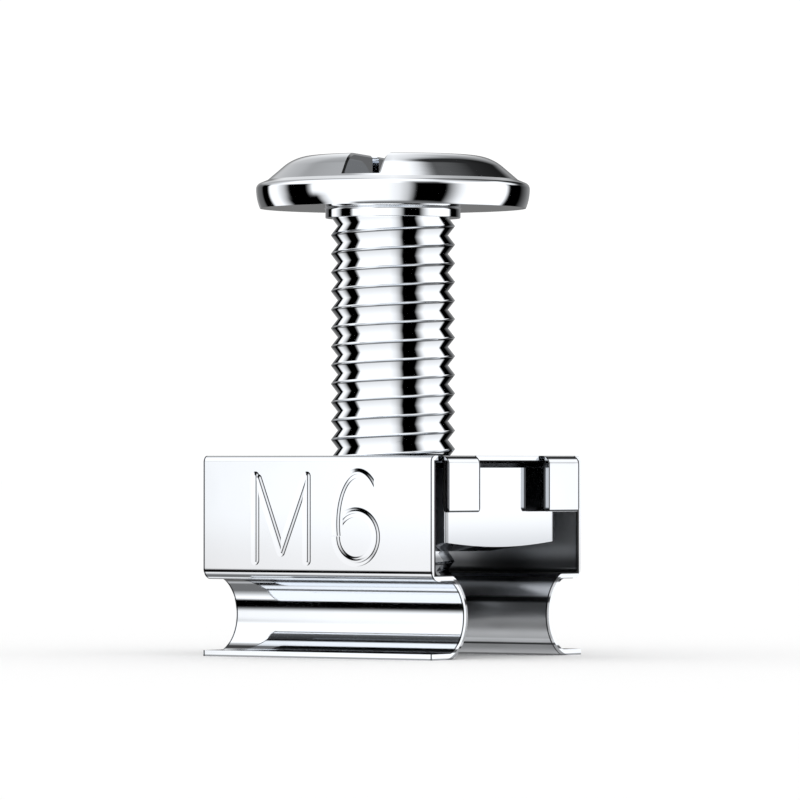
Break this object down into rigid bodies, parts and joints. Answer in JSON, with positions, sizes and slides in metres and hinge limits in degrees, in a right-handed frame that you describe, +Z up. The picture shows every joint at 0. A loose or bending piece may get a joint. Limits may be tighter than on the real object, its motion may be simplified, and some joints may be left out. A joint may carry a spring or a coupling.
{
  "type": "caged rack nut with screw",
  "caption": "Folded spring-steel cage with curved clip wings, holding a loose threaded nut block and its domed slot-and-cross rack screw.",
  "frame": {"origin": "on the screw's axis, at the underside of the cage's two lips, which is the centre of the whole part's base", "axes": "+Z up along the screw's axis from the lips to the head; +X along the cage's side walls and wings, towards one open end; +Y across the cage, from wing to wing"},
  "size_m": [0.0138, 0.013, 0.0239],
  "materials": {
    "plated_spring_steel": "bright nickel plate, polished, on folded spring steel",
    "plated_nut_steel": "bright nickel plate on a pressed block",
    "plated_screw_steel": "bright nickel plate, polished head, rolled thread"
  },
  "bodies": {
    "cage": {"cage": "plated_spring_steel"},
    "nut": {"nut": "plated_nut_steel"},
    "screw": {"screw": "plated_screw_steel"}
  },
  "joints": [
    {"name": "nut_float", "type": "slide", "parent": "cage", "child": "nut", "axis": [1, 0, 0], "range_m": [-0.0004, 0.0004]},
    {"name": "screw_travel", "type": "slide", "parent": "nut", "child": "screw", "axis": [0, 0, 1], "range_m": [-0.01062, 0.00708]}
  ]
}
